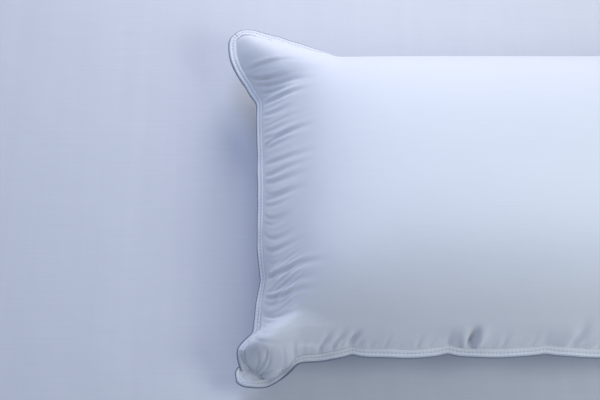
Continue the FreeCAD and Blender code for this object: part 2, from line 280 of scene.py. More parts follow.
def sheet_links(flat, goal, drawn, bend, squeeze, shear):
    """Links of a panel: (one end, other end, length, pull stiffness, push stiffness).

    A link is as long as the flat cloth's, or where drawn is 1 as it is in the goal shape.
    """
    rows, columns = flat.shape[:2]
    every = slice(None)
    links = []

    def link(a, b, pull, push):
        share, pull, push = [(f[a] + f[b]) / 2 if np.ndim(f) else f for f in (drawn, pull, push)]
        length = np.linalg.norm(flat[a] - flat[b], axis=-1)
        length = length + share * (np.linalg.norm(goal[a] - goal[b], axis=-1) - length)
        links.append(((every,) + a, (every,) + b, np.float32(length), np.float32(pull), np.float32(push)))

    for a, b in slices(columns, 1, 2):
        link((every, a), (every, b), 1.0, squeeze)
    for a, b in slices(rows, 1, 2):
        link((a, every), (b, every), 1.0, squeeze)
    for a, b in slices(rows, 1, 2):
        for c, d in slices(columns, 1, 2):
            link((a, c), (b, d), shear, squeeze * shear / 2)
            link((b, c), (a, d), shear, squeeze * shear / 2)
    for a, b in slices(columns, 2, 4):
        link((every, a), (every, b), bend, bend)
    for a, b in slices(rows, 2, 4):
        link((a, every), (b, every), bend, bend)
    return links


def pull_sheet(grid, links):
    """Moves the ends of every link towards its length."""
    for a, b, length, pull, push in links:
        apart = grid[b] - grid[a]
        distance = np.sqrt(np.einsum("...i,...i->...", apart, apart)) + np.float32(1e-9)
        error = (distance - length) / distance
        error *= np.float32(0.5) * np.where(error > 0, pull, push)
        apart *= error[..., None]
        grid[a] += apart
        grid[b] -= apart


def band_links(rings_goal, stiffness):
    """Links of the binding's rings, as pairs of point numbers."""
    rings, count, _ = rings_goal.shape
    flat = rings_goal.reshape(-1, 3)
    number = np.arange(rings * count).reshape(rings, count)
    links = []

    def link(a, b, strength):
        a, b = a.ravel(), b.ravel()
        length = np.linalg.norm(flat[a] - flat[b], axis=1)
        links.append((a, b, np.float32(length), np.float32(strength)))

    following = np.roll(number, -1, 1)
    for start in (0, 1):
        link(number[:, start::2], following[:, start::2], 1.0)
    for ring in range(rings - 1):
        link(number[ring], number[ring + 1], 1.0)
        link(number[ring], following[ring + 1], 0.4)
        link(following[ring], number[ring + 1], 0.4)
    for step in (2, 4):
        far = np.roll(number, -step, 1)
        for start in range(2 * step):
            chosen = np.arange(count) % (2 * step) == start
            link(number[:, chosen], far[:, chosen], stiffness)
    return links


def pull_band(points, links):
    """Moves the ends of every link of the binding towards its length."""
    for a, b, length, strength in links:
        apart = points[b] - points[a]
        distance = np.sqrt((apart * apart).sum(1)) + np.float32(1e-9)
        apart *= (np.float32(0.5) * strength * (distance - length) / distance)[:, None]
        points[a] += apart
        points[b] -= apart


def finer_grid(grid):
    """The same panels with twice as many cells along both directions."""
    panels, rows, columns, _ = grid.shape
    fine = np.empty((panels, 2 * rows - 1, 2 * columns - 1, 3), grid.dtype)
    fine[:, ::2, ::2] = grid
    fine[:, 1::2, ::2] = (grid[:, 1:] + grid[:, :-1]) / 2
    fine[:, :, 1::2] = (fine[:, :, 2::2] + fine[:, :, :-2:2]) / 2
    return fine


def finer_rings(rings):
    """The same rings with twice as many points."""
    count = rings.shape[1]
    fine = np.empty((len(rings), 2 * count, 3), rings.dtype)
    fine[:, ::2] = rings
    fine[:, 1::2] = (rings + np.roll(rings, -1, 1)) / 2
    return fine


# Stiffnesses, as the share of a link's error that one sweep takes away.
SHEAR = 0.06
BEND_SEAM, BEND_CROWN = 0.12, 0.12
PUSH_SEAM, PUSH_CROWN = 0.2, 0.05  # when a link is shorter than the cloth
BAND_STIFFNESS = 0.1
HOLD_CROWN, HOLD_SEAM = 0.25, 0.03  # how firmly the filling holds the cloth in place
HOLD_BAND = 3 * HOLD_SEAM  # how firmly the binding stays in place
LOOSENING = 1.6  # how soon the hold loosens towards the seam
PRESSURE, WEIGHT, DAMPING = 0.03, 0.002, 0.93
LAYERS_APART = 1.5  # the least gap between the panels
SWEEPS = 3  # over all links, in every step
# How far seam and crown reach from the short and the long sides, and an ear from its corner.
SEAM_SPAN_SHORT, SEAM_SPAN_LONG, EAR_SPAN = (30, 95), (18, 55), (90, 230)


def relax(rows, columns, steps, start=None):
    """Lets the cloth settle over the filling, between the pillow's shape and its own flat lengths."""
    flat, goal, ring_goal = resting_shape(rows, columns)
    goal, ring_goal = np.float32(goal), np.float32(ring_goal)
    rim_row, rim_column = rim_index(rows, columns)
    from_side = FLAT / 2 - np.abs(flat)
    near_x = 1 - smooth(from_side[..., 0], *SEAM_SPAN_SHORT)
    near_y = 1 - smooth(from_side[..., 1], *SEAM_SPAN_LONG)
    drawn = 1 - smooth(from_side.sum(2), *EAR_SPAN)
    seam = np.maximum(near_x, near_y)
    loose = np.clip(seam * LOOSENING, 0, 1)
    hold = np.float32(HOLD_CROWN + (HOLD_SEAM - HOLD_CROWN) * loose)[None, ..., None]
    links = sheet_links(flat, goal[0], drawn, BEND_CROWN + (BEND_SEAM - BEND_CROWN) * seam,
                        PUSH_CROWN + (PUSH_SEAM - PUSH_CROWN) * seam, SHEAR)
    band = band_links(ring_goal, BAND_STIFFNESS)
    if start is None:
        grid, rings = goal.copy(), ring_goal.copy()
    else:
        grid, rings = finer_grid(start[0]), finer_rings(start[1])
    cell = FLAT[0] / (columns - 1)
    up_down = np.float32([1, -1])[:, None, None, None] * np.float32(PRESSURE / cell**2)
    fall = np.float32([0, 0, WEIGHT])
    speed, ring_speed = np.zeros_like(grid), np.zeros_like(rings)
    for _ in range(steps):
        speed += grid_normals(grid) * up_down - fall
        ring_speed -= fall
        before, rings_before = grid.copy(), rings.copy()
        grid += speed + hold * (goal - grid - speed)
        rings += ring_speed + np.float32(HOLD_BAND) * (ring_goal - rings - ring_speed)
        for _ in range(SWEEPS):
            pull_sheet(grid, links)
            pull_band(rings.reshape(-1, 3), band)
            rim = (grid[0, rim_row, rim_column] + grid[1, rim_row, rim_column] + rings[0]) / 3
            grid[:, rim_row, rim_column] = rim
            rings[0] = rim
            gap = grid[0, 1:-1, 1:-1, 2] - grid[1, 1:-1, 1:-1, 2]
            clash = np.minimum(gap - np.float32(LAYERS_APART), 0) / 2
            grid[0, 1:-1, 1:-1, 2] -= clash
            grid[1, 1:-1, 1:-1, 2] += clash
            np.maximum(grid[..., 2], 0, out=grid[..., 2])
        speed = (grid - before) * np.float32(DAMPING)
        ring_speed = (rings - rings_before) * np.float32(DAMPING)
    return grid, rings


COARSE = (123, 187)  # rows and columns, 4 mm apart on the flat cloth
COARSE_STEPS, FINE_STEPS = 110, 45


def settle_cloth():
    """The settled panels and binding, first on the coarse grid and then on one twice as fine."""
    coarse = relax(*COARSE, COARSE_STEPS)
    return relax(2 * COARSE[0] - 1, 2 * COARSE[1] - 1, FINE_STEPS, start=coarse)


# ---- what the sewing does to the settled cloth -----------------------

# Random creases along each side: pitch, reach, depth, sideways run, and how far that fans out.
LEFT_PUCKERS = (9.0, 112, 1.3, -24, 30)
RIGHT_PUCKERS = (9.0, 112, 1.3, -14, 30)
FRONT_PUCKERS = (16, 30, 1.3, 8, 6)
BACK_PUCKERS = (16, 30, 1.3, 5, 6)
# Creases that stand out: place along the side, reach, depth, half width, sideways run.
KNOWN_LEFT = [
    (-97, 120, 2.4, 3.6, -30), (-120, 110, 2.0, 3.6, -44), (-146, 90, 2.2, 4.4, -46),
    (62, 100, 1.8, 3, -6), (118, 90, 1.8, 3.4, -8), (134, 96, 2.2, 3.4, -14),
    (146, 104, 2.6, 3.8, -20), (158, 92, 2.2, 3.8, -26),
]
KNOWN_FRONT = [
    (-88, 36, 12.0, 5.5, 3), (-262, 30, 3.6, 4, 12), (-246, 34, 3.6, 4, 13),
    (-228, 32, 3.2, 4, 12), (20, 48, 3.4, 6, 18), (48, 36, 3.4, 6, 18),
]


def side_puckers(panel):
    """Creases along the left, right, front and back side of the top (0) or the underside (1)."""
    rng = np.random.default_rng(PUCKER_SEED + panel)
    left = make_puckers(rng, FLAT[1] / 2, *LEFT_PUCKERS)
    right = make_puckers(rng, FLAT[1] / 2, *RIGHT_PUCKERS)
    front = make_puckers(rng, FLAT[0] / 2, *FRONT_PUCKERS)
    back = make_puckers(rng, FLAT[0] / 2, *BACK_PUCKERS)
    if panel == 0:
        left += KNOWN_LEFT
        front += KNOWN_FRONT
    return left, right, front, back


def press_puckers(grid):
    """Presses the creases into the cloth."""
    flat, _ = flat_cloth(*grid.shape[1:3])
    x, y = flat[..., 0], flat[..., 1]
    half_x, half_y = FLAT / 2
    normal = grid_normals(grid) * np.array([1, -1])[:, None, None, None]
    normal /= np.linalg.norm(normal, axis=-1, keepdims=True)
    for panel in range(2):
        left, right, front, back = side_puckers(panel)
        press = (pucker_depth(y, half_x + x, left) + pucker_depth(y, half_x - x, right)
                 + pucker_depth(x, half_y + y, front) + pucker_depth(x, half_y - y, back))
        grid[panel] -= normal[panel] * press[..., None]
    grid[1, ..., 2] = np.maximum(grid[1, ..., 2], 0)
    return grid


# Where the binding is drawn in: place along the side, how far, half width.
DRAWN_LEFT = [(-100, 6.5, 38), (150, 1.5, 8)]
DRAWN_FRONT = [(-296, 2.0, 9), (-220, 6.0, 15), (-112, 7.0, 16), (-5, 4.5, 16),
               (105, 5.0, 18), (231, 5.0, 17)]
WAVES = (210, 130, 84, 51, 33)  # lengths of the binding's slow waves
WAVE_IN, WAVE_UP = 0.003, 0.008  # how far they swing, for their length
WAVER_SEED = 20
WAVER_REACH = 34  # how far into the cloth the waver reaches
CALM_SHORT, CALM_LONG = (20, 70), (20, 60)  # where it fades out, from the short and the long sides


def waver(place, drawn, seed):
    """How far a side of the binding stands in, and up, at places along it."""
    rng = np.random.default_rng(seed)
    inward = sum(far * np.exp(-np.abs(place - at) / width) for at, far, width in drawn)
    upward = np.zeros_like(place)
    for length in WAVES:
        phase_in, phase_up = rng.uniform(0, 2 * math.pi, 2)
        inward = inward + WAVE_IN * length * np.sin(2 * math.pi * place / length + phase_in)
        upward = upward + WAVE_UP * length * np.sin(2 * math.pi * place / length + phase_up)
    return inward, upward


def shift_sides(flat):
    """How far the binding's waver moves each place on the flat cloth."""
    inwards = FLAT / 2 - np.abs(flat)
    short, long_ = [1 - smooth(inwards[..., axis], 0, WAVER_REACH) for axis in (0, 1)]
    away = smooth(inwards[..., 0], *CALM_SHORT), smooth(inwards[..., 1], *CALM_LONG)
    shift = np.zeros(flat.shape[:-1] + (3,))
    sides = [(0, -1, DRAWN_LEFT), (0, 1, DRAWN_LEFT[:1]), (1, -1, DRAWN_FRONT), (1, 1, DRAWN_FRONT[2:])]
    for seed, (axis, sign, drawn) in enumerate(sides):
        near = (short, long_)[axis] * away[1 - axis] * (flat[..., axis] * sign > 0)
        inward, upward = waver(flat[..., 1 - axis], drawn, WAVER_SEED + seed)
        shift[..., axis] -= sign * inward * near
        shift[..., 2] += upward * near
    return shift


# How far the binding hangs down from level, in degrees, along the middle of each side.
DROOP_SHORT, DROOP_FRONT, DROOP_BACK, DROOP_EAR = 34, 12, 40, 10
DROOP_BENT = -24  # at the bent ear's tip, which points up
BENT_TIP_SPAN = (20, 45)  # that tip, from the corner, measured along both sides together
DROOP_START, DROOP_START_BACK, DROOP_RAMP = 30, 90, 80  # how a side's droop starts, from the corner
DROOP_PASSES = 20  # of smoothing along the edge


def let_binding_hang(rings, flat_rim):
    """Turns the binding down about its sew line."""
    to_corner = (FLAT / 2 - np.abs(flat_rim)).sum(1)
    on_short = np.abs(flat_rim[:, 0]) > FLAT[0] / 2 - 1
    side = np.where(on_short, DROOP_SHORT, np.where(flat_rim[:, 1] < 0, DROOP_FRONT, DROOP_BACK))
    start = np.where(on_short | (flat_rim[:, 1] < 0), DROOP_START, DROOP_START_BACK)
    angle = DROOP_EAR + (side - DROOP_EAR) * smooth(to_corner, start, start + DROOP_RAMP)
    bent = (flat_rim < 0).all(1)
    tip = (DROOP_BENT - DROOP_EAR) * (1 - smooth(to_corner, *BENT_TIP_SPAN))
    angle += np.where(bent, tip, 0)
    angle = np.radians(angle)[:, None]
    for _ in range(DROOP_PASSES):
        angle = angle / 2 + (np.roll(angle, 1, 0) + np.roll(angle, -1, 0)) / 4
    ahead = np.roll(rings[0], -1, 0) - np.roll(rings[0], 1, 0)
    ahead /= np.linalg.norm(ahead, axis=1, keepdims=True)
    hung = [rings[0]]
    for ring in rings[1:]:
        arm = ring - rings[0]
        hung.append(rings[0] + arm * np.cos(angle) + np.cross(ahead, arm) * np.sin(angle))
    return np.stack(hung)


def sew(grid, rings):
    """Puckers the cloth along its seam and lets the binding waver and hang."""
    flat, _ = flat_cloth(*grid.shape[1:3])
    rim_row, rim_column = rim_index(*grid.shape[1:3])
    shift = shift_sides(flat)
    grid = press_puckers(grid.astype(float)) + shift
    grid[1, ..., 2] = np.maximum(grid[1, ..., 2], 0)
    rings = let_binding_hang(rings.astype(float), flat[rim_row, rim_column])
    return grid, rings + shift[rim_row, rim_column]


# ---- the band along the edge -----------------------------------------


class Edge:
    """The middle of the pillow's edge as a surface: along the sew line, and outwards from it."""

    def __init__(self, rings):
        self.rings = self.smoothed(rings, 3)
        travelled = np.linalg.norm(np.roll(self.rings[1], -1, 0) - self.rings[1], axis=1)
        self.travelled = np.concatenate([[0], np.cumsum(travelled)])
        self.length = self.travelled[-1]

    @staticmethod
    def smoothed(rings, passes):
        for _ in range(passes):
            rings = rings / 2 + (np.roll(rings, 1, 1) + np.roll(rings, -1, 1)) / 4
        return rings

    def curve(self, ring, along):
        """Points of a ring at distances along the edge's middle line."""
        count = len(ring)
        place = np.interp(np.mod(along, self.length), self.travelled, np.arange(count + 1))
        first = np.floor(place).astype(int)
        t = (place - first)[:, None]
        before, here, after, later = [ring[(first + k) % count] for k in (-1, 0, 1, 2)]
        slope_here, slope_after = (after - before) / 2, (later - here) / 2
        return (here + t * slope_here + t**2 * (3 * (after - here) - 2 * slope_here - slope_after)
                + t**3 * (2 * (here - after) + slope_here + slope_after))

    def frame(self, along, out):
        """Points at distances along and out from the sew line, with the unit vector up from each."""
        inner, middle, outer = [self.curve(ring, along) for ring in self.rings]
        t = (np.asarray(out) / RING_AT[1])[..., None]
        points = inner * (1 - t) * (2 - t) / 2 + middle * t * (2 - t) + outer * t * (t - 1) / 2
        across = inner * (2 * t - 3) / 2 + middle * (2 - 2 * t) + outer * (2 * t - 1) / 2
        ahead = self.curve(self.rings[1], along + 1) - self.curve(self.rings[1], along - 1)
        up = np.cross(across, ahead)
        return points, up / np.linalg.norm(up, axis=-1, keepdims=True)

    def at(self, along, out, up):
        """Points at distances along, outwards from the sew line and up from the edge's middle."""
        points, normal = self.frame(along, out)
        return points + normal * np.asarray(up)[..., None]

    def on_right(self, y):
        """How far along the edge the place on its +X side is that is nearest to a Y."""
        line = self.curve(self.rings[1], self.travelled[:-1])
        right = np.nonzero(line[:, 0] > 0)[0]
        return self.travelled[right[np.argmin(np.abs(line[right, 1] - y))]]


# ---- meshes ----------------------------------------------------------


def new_piece(name, points, quads, uv=None):
    """A smooth mesh object from points in millimetres and quads of point numbers."""
    mesh = bpy.data.meshes.new(name)
    mesh.from_pydata((np.asarray(points) * MM).tolist(), [], quads.tolist())
    if uv is not None:
        layer = mesh.uv_layers.new(name="flat")
        layer.data.foreach_set("uv", np.float32(uv[quads.ravel()]).ravel())
    mesh.shade_smooth()
    piece = bpy.data.objects.new(name, mesh)
    bpy.context.scene.collection.objects.link(piece)
    return piece


def finish_piece(piece, node, material):
    """Gives a piece its material, hangs it under the root body and hides the CAD node it stands for."""
    piece.data.materials.append(material)
    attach(piece, "root")
    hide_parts(node)


def point_normals(points, quads):
    """Unit vectors out of a mesh at its points."""
    a, b, c, d = points[quads].transpose(1, 0, 2)
    across = np.repeat(np.cross(c - a, d - b), 4, 0)
    normals = np.stack([np.bincount(quads.ravel(), across[:, i], len(points)) for i in range(3)], 1)
    return normals / np.linalg.norm(normals, axis=1)[:, None]


def grid_quads(rows, columns):
    """Quads of a grid whose points are numbered row by row, facing up."""
    number = np.arange(rows * columns).reshape(rows, columns)
    corners = [number[:-1, :-1], number[:-1, 1:], number[1:, 1:], number[1:, :-1]]
    return np.stack(corners, 2).reshape(-1, 4)


def band_quads(inner, outer):
    """Quads between two closed lines of point numbers, facing up where they run anticlockwise."""
    return np.stack([inner, outer, np.roll(outer, -1), np.roll(inner, -1)], 1)


def loop_quads(stations, sides, turned=False):
    """Quads of a closed tube, numbered station by station; turned when its sides run the other way."""
    number = np.arange(stations * sides).reshape(stations, sides)
    onward, around = np.roll(number, -1, 0), np.roll(number, -1, 1)
    both = np.roll(onward, -1, 1)
    corners = [number, around, both, onward] if turned else [number, onward, both, around]
    return np.stack(corners, 2).reshape(-1, 4)


def thicken(points, quads, border, thickness):
    """A closed shell: the sheet, the same sheet one thickness inside it and a strip round the border."""
    inside = points - point_normals(points, quads) * thickness
    count = len(points)
    strip = band_quads(border, border + count)
    return np.concatenate([points, inside]), np.concatenate([quads, quads[:, ::-1] + count, strip])


# ---- the two panels --------------------------------------------------

ALLOWANCE = 8.0  # cloth that reaches into the binding
ALLOWANCE_STEP = 2  # spacing of its rows of points
PLY = 0.4  # from the edge's middle to the middle of each panel's allowance


def make_panel(name, node, grid, edge, side, material):
    """One panel with its seam allowance; side is 1 for the top and -1 for the underside."""
    rows, columns, _ = grid.shape
    flat, _ = flat_cloth(rows, columns)
    rim_row, rim_column = rim_index(rows, columns)
    rim = rim_row * columns + rim_column
    along = edge.travelled[:-1]
    lift = side * (PLY + CLOTH / 2)
    points, uv, quads = grid.reshape(-1, 3).copy(), flat.reshape(-1, 2), [grid_quads(rows, columns)]
    points[rim] = edge.at(along, 0, np.full(len(rim), lift))
    layers, flats, border = [points], [uv], rim
    flat_out = outward(uv[rim])
    for out in np.arange(ALLOWANCE_STEP, ALLOWANCE + 1, ALLOWANCE_STEP):
        number = np.arange(len(rim)) + sum(len(layer) for layer in layers)
        layers.append(edge.at(along, np.full(len(rim), out), np.full(len(rim), lift)))
        flats.append(uv[rim] + flat_out * out)
        quads.append(band_quads(border, number))
        border = number
    points, uv, quads = np.concatenate(layers), np.concatenate(flats) * MM, np.concatenate(quads)
    if side < 0:
        quads = quads[:, ::-1]
    points, quads = thicken(points, quads, border if side > 0 else border[::-1], CLOTH)
    piece = new_piece(name, points, quads, np.concatenate([uv, uv]))
    finish_piece(piece, node, material)


# ---- the filling -----------------------------------------------------

FILL_STEP = 2  # grid points per point of the filling
FILL_INSET = 12  # grid points along the sew line that the down does not reach
FILL_GAP = 5.0  # from the cloth to the down
FILL_SHARE = 0.4  # at the most, the gap's share of the way through the pillow
TUFT = 1.6  # how far the tufts of down rise and fall


def make_filling(grid, material):
    """The down as one lumpy body that fills the cloth."""
    inner = grid[:, FILL_INSET:-FILL_INSET:FILL_STEP, FILL_INSET:-FILL_INSET:FILL_STEP]
    x, y = inner[0, ..., 0], inner[0, ..., 1]
    tufts = (np.sin(x / 7.1 + 2 * np.sin(y / 11.3)) * np.sin(y / 6.3 + 2 * np.sin(x / 9.7))
             + np.sin(x / 3.1 + y / 4.7) / 3)
    depth = (FILL_GAP + CLOTH + TUFT * (1 + tufts))[..., None]
    through = inner[1] - inner[0]
    share = np.minimum(depth / np.linalg.norm(through, axis=2, keepdims=True), FILL_SHARE)
    top, bottom = inner[0] + through * share, inner[1] - through * share
    rows, columns, _ = top.shape
    count = rows * columns
    rim_row, rim_column = rim_index(rows, columns)
    rim = rim_row * columns + rim_column
    faces = grid_quads(rows, columns)
    quads = np.concatenate([faces, faces[:, ::-1] + count, band_quads(rim, rim + count)])
    piece = new_piece("down_fill", np.concatenate([top.reshape(-1, 3), bottom.reshape(-1, 3)]), quads)
    finish_piece(piece, "fill_core", material)


# ---- binding, piping and threads -------------------------------------

STITCH = 4.5  # length of one stitch and its gap
STITCH_ROW = TAPE / 2  # the topstitching, outwards from the sew line
TAPE_CLOTH = 0.7  # thickness of the tape's cloth
TAPE_START = 0.4  # where the tape starts, outwards from the sew line
TAPE_LIP = 0.3  # how far its two edges turn in
PUFF = 0.5  # how far each half of the tape stands over its stitched valley
HOLE = 0.55  # depth of a needle hole's dimple
DRAWN_TAPE = 0.16  # how far the tape sinks beside a needle hole and rises between two
TAPE_STATION, QUICK_STATIONS = 0.9, 1200
# Places across the tape, of 10, closer together at the stitched valley.
TAPE_PLACES = np.array([0, 0.5, 1.2, 2.0, 2.9, 3.6, 4.2, 4.6, 5.0, 5.4, 5.8, 6.4, 7.1, 8.0, 8.8])
FOLD_TURNS = 9  # points round the tape's fold, with its two ends


def tape_height(out, along, pitch):
    """Height of the tape's outside over the edge's middle, for one side of the binding."""
    from_row = np.abs(out - STITCH_ROW)
    puff = PUFF * smooth(from_row, 0.2, 2.2) * (1 - 0.35 * smooth(from_row, 2.8, 4.6))
    to_hole = np.abs(np.mod(along / pitch + 0.5, 1) - 0.5) * pitch
    dimple = HOLE * np.exp(-((to_hole / 0.9) ** 2) - (from_row / 1.1) ** 2)
    drawn = DRAWN_TAPE * np.cos(2 * np.pi * along / pitch)
    drawn = drawn * smooth(from_row, 0.5, 2.5) * (1 - smooth(from_row, 3.5, 5))
    return TAPE_HALF - PUFF + puff - dimple - drawn


def ripple(along, length):
    """A slow waver of the tape's edge, the same all the way round."""
    turns = 2 * np.pi * along / length
    long_waves = 0.28 * np.sin(37 * turns + 1.3 * np.sin(11 * turns))
    return long_waves + 0.2 * np.sin(83 * turns + 2 * np.sin(17 * turns))


def make_binding(edge, material):
    """The tape, folded round the edge, as one closed ring with an outside and an inside."""
    stations = 3 * round(edge.length / 3 / TAPE_STATION)
    along = np.arange(stations) * edge.length / stations
    pitch = edge.length / round(edge.length / STITCH)
    flat_outs = TAPE_START + TAPE_PLACES * (TAPE - TAPE_START) / TAPE
    turn = np.linspace(math.pi / 2, -math.pi / 2, FOLD_TURNS)[1:-1]
    rolled = TAPE - TAPE_HALF
    layers = []
    for outside in (True, False):
        inset = 0 if outside else TAPE_CLOTH
        upper, lower, fold = [], [], []
        for out in flat_outs:
            height = tape_height(out, along, pitch) - inset
            height = height - (TAPE_LIP if outside and out < TAPE_START + TAPE_LIP else 0)
            place = out + ripple(along, edge.length) * max(0, 1 - out / 3)
            upper.append(edge.at(along, place, height))
            lower.append(edge.at(along, place, -height))
        radius = TAPE_HALF - PUFF * 0.35 - inset
        for angle in turn:
            reach = rolled + (TAPE_HALF - inset) * math.cos(angle)
            level = np.full(stations, radius * math.sin(angle))
            fold.append(edge.at(along, np.full(stations, reach), level))
        ring = upper + fold + lower[::-1]
        layers += ring if outside else ring[::-1]
    outline = len(layers)
    points = np.stack(layers, 1)
    quads = loop_quads(stations, outline, turned=True)
    uv = np.stack([np.repeat(along, outline), np.tile(np.arange(outline), stations) * 0.8], 1) * MM
    piece = new_piece("binding", points.reshape(-1, 3), quads, uv)
    finish_piece(piece, "edge_binding", material)


PIPING_OUT = 0.15  # its middle, past the tape's nominal edge: the cord is half tucked into the fold
STRAND_DEPTH, STRAND_TURN = 0.06, 3.2  # of its three strands, as a share of the radius and a length


def make_piping(edge, material):
    """The cord along the tape's fold, with the slight twist of its strands."""
    stations, sides = 1800, 12
    along = np.arange(stations) * edge.length / stations
    turns = np.linspace(0, 2 * math.pi, sides, endpoint=False)
    centre = TAPE + PIPING_OUT
    layers = []
    for turn in turns:
        twist = 1 + STRAND_DEPTH * np.sin(3 * turn + 2 * np.pi * along / STRAND_TURN)
        layers.append(edge.at(along, centre + PIPING_RADIUS * math.cos(turn) * twist,
                              PIPING_RADIUS * math.sin(turn) * twist))
    piece = new_piece("piping", np.stack(layers, 1).reshape(-1, 3), loop_quads(stations, sides))
    finish_piece(piece, "edge_piping", material)


STITCH_SINK = 0.75  # how far a stitch's ends sink into the cloth
STITCH_ENDS = 0.06  # share of the pitch left free at each end of a stitch
SEAM_ROW, SEAM_LIFT = 2.5, 1.0  # the hidden seam, outwards from the sew line and up from the middle
CLOSING_ROW = 4.0  # the closing stitches, outwards from the sew line


def make_stitches(name, node, edge, out, height, material, span=None):
    """A row of stitches; height is that of the thread's middle over the edge, and the sign its side."""
    if span is None:
        count = round(edge.length / STITCH)
        starts = np.arange(count) * edge.length / count
        pitch = edge.length / count
    else:
        pitch = STITCH
        starts = np.arange(span[0], span[1] - pitch, pitch)
    steps, sides = 7, 6
    t = np.linspace(0, 1, steps)
    turns = np.linspace(0, 2 * math.pi, sides, endpoint=False)
    sink = STITCH_SINK * (1 - np.sin(np.pi * t) ** 0.5)
    thin = 0.35 + 0.65 * np.sin(np.pi * t) ** 0.4
    along = (starts[:, None] + pitch * (STITCH_ENDS + (1 - 2 * STITCH_ENDS) * t)).ravel()
    layers = []
    for turn in turns:
        reach = THREAD_RADIUS * np.tile(thin, len(starts))
        level = height - math.copysign(1, height) * np.tile(sink, len(starts))
        layers.append(edge.at(along, out + reach * math.cos(turn), level + reach * math.sin(turn)))
    points = np.stack(layers, 1).reshape(-1, 3)
    number = np.arange(len(starts) * steps * sides).reshape(len(starts), steps, sides)
    side_next = np.roll(number, -1, 2)
    walls = np.stack([number[:, :-1], number[:, 1:], side_next[:, 1:], side_next[:, :-1]], 3).reshape(-1, 4)
    caps = []
    for ring in (number[:, 0], number[:, -1, ::-1]):
        caps += [ring[:, [0, 1, 2, 3]], ring[:, [0, 3, 4, 5]]]
    piece = new_piece(name, points, np.concatenate([walls] + caps))
    finish_piece(piece, node, material)


# ---- the care label --------------------------------------------------

LABEL_LOW, LABEL_HIGH = cad_box_mm("care_label")
LABEL_CLOTH = 0.35  # thickness of the ribbon
LABEL_TUCKED = 4.0  # how much shorter it hangs than the CAD's label is tall


def make_label(edge, material):
    """A blank ribbon sewn under the binding, curling as it hangs."""
    wide, tall = 24, 30
    middle = (LABEL_LOW[1] + LABEL_HIGH[1]) / 2
    width = LABEL_HIGH[1] - LABEL_LOW[1]
    u, v = np.meshgrid(np.linspace(-1, 1, wide), np.linspace(0, 1, tall))
    along = edge.on_right(middle) + u * width / 2
    top = edge.at(along.ravel(), np.full(u.size, TAPE / 2 + 1), np.full(u.size, -TAPE_HALF))
    top = top.reshape(tall, wide, 3)
    drop = LABEL_HIGH[2] - LABEL_LOW[2] - LABEL_TUCKED
    points = top.copy()
    points[..., 2] -= drop * v
    curl = 3.2 * np.sin(2.4 * v) - 4.5 * v**2 + 2.0 * v * np.cos(2.2 * u + 1.5 * v)
    points[..., 0] += curl
    points[..., 1] += 1.2 * np.sin(3 * v) * v
    points = points.reshape(-1, 3)
    quads = grid_quads(tall, wide)
    row, column = rim_index(tall, wide)
    points, quads = thicken(points, quads, row * wide + column, LABEL_CLOTH)
    uv = np.stack([u.ravel() * width / 2, v.ravel() * drop], 1) * MM
    piece = new_piece("label", points, quads, np.concatenate([uv, uv]))
    finish_piece(piece, "care_label", material)


# ---- materials -------------------------------------------------------


class Nodes:
    """A material under construction: its Principled shader, with helpers that add linked nodes."""

    def __init__(self, name, colour, roughness, sheen=0.0, sheen_roughness=0.5):
        self.material = bpy.data.materials.new(name)
        self.material.use_nodes = True
        self.tree = self.material.node_tree
        self.shader = self.tree.nodes["Principled BSDF"]
        self.set(self.shader, {"Base Color": (*colour, 1), "Roughness": roughness, "Sheen Weight": sheen,
                               "Sheen Roughness": sheen_roughness, "Specular IOR Level": 0.3})

    def set(self, node, values):
        """Sets a node's inputs, or links those whose value is another node's output."""
        for key, value in values.items():
            if isinstance(value, bpy.types.NodeSocket):
                self.tree.links.new(value, node.inputs[key])
            else:
                node.inputs[key].default_value = value

    def add(self, kind, values, **properties):
        """A new node with its inputs and properties."""
        node = self.tree.nodes.new(kind)
        for key, value in properties.items():
            setattr(node, key, value)
        self.set(node, values)
        return node

    def flat(self):
        """Places on the flat cloth, in metres."""
        return self.add("ShaderNodeUVMap", {}, uv_map="flat").outputs[0]

    def space(self):
        """Places in the pillow's own frame, in metres."""
        return self.add("ShaderNodeTexCoord", {}).outputs["Object"]

    def stretched(self, at, factors):
        """Places scaled differently along each axis."""
        return self.add("ShaderNodeVectorMath", {0: at, 1: factors}, operation="MULTIPLY").outputs[0]

    def noise(self, at, scale, detail=3.0, roughness=0.5, distortion=0.0):
        """Soft noise from 0 to 1, so many times to the metre."""
        values = {"Vector": at, "Scale": scale, "Detail": detail, "Roughness": roughness,
                  "Distortion": distortion}
        return self.add("ShaderNodeTexNoise", values).outputs["Fac"]

    def wave(self, at, direction, per_metre):
        """Ridges across a direction, X or Y."""
        scale = per_metre * math.pi / 10
        return self.add("ShaderNodeTexWave", {"Vector": at, "Scale": scale},
                        bands_direction=direction).outputs["Fac"]

    def math(self, operation, a, b):
        """The sum, product or such of two values."""
        return self.add("ShaderNodeMath", {0: a, 1: b}, operation=operation).outputs[0]

    def blend(self, share, low, high):
        """A colour between two, by a share from 0 to 1."""
        node = self.add("ShaderNodeMix", {}, data_type="RGBA")
        self.set(node, {0: share, 6: (*low, 1), 7: (*high, 1)})
        return node.outputs[2]

    def bump(self, height, distance, strength=1.0, normal=None):
        """A normal tilted by a height from 0 to 1, over the given distance in metres."""
        values = {"Height": height, "Distance": distance, "Strength": strength}
        if normal is not None:
            values["Normal"] = normal
        return self.add("ShaderNodeBump", values).outputs[0]

    def finish(self, colour, normal):
        """Links the colour and the normal to the shader, and returns the material."""
        self.set(self.shader, {"Base Color": colour, "Normal": normal})
        return self.material


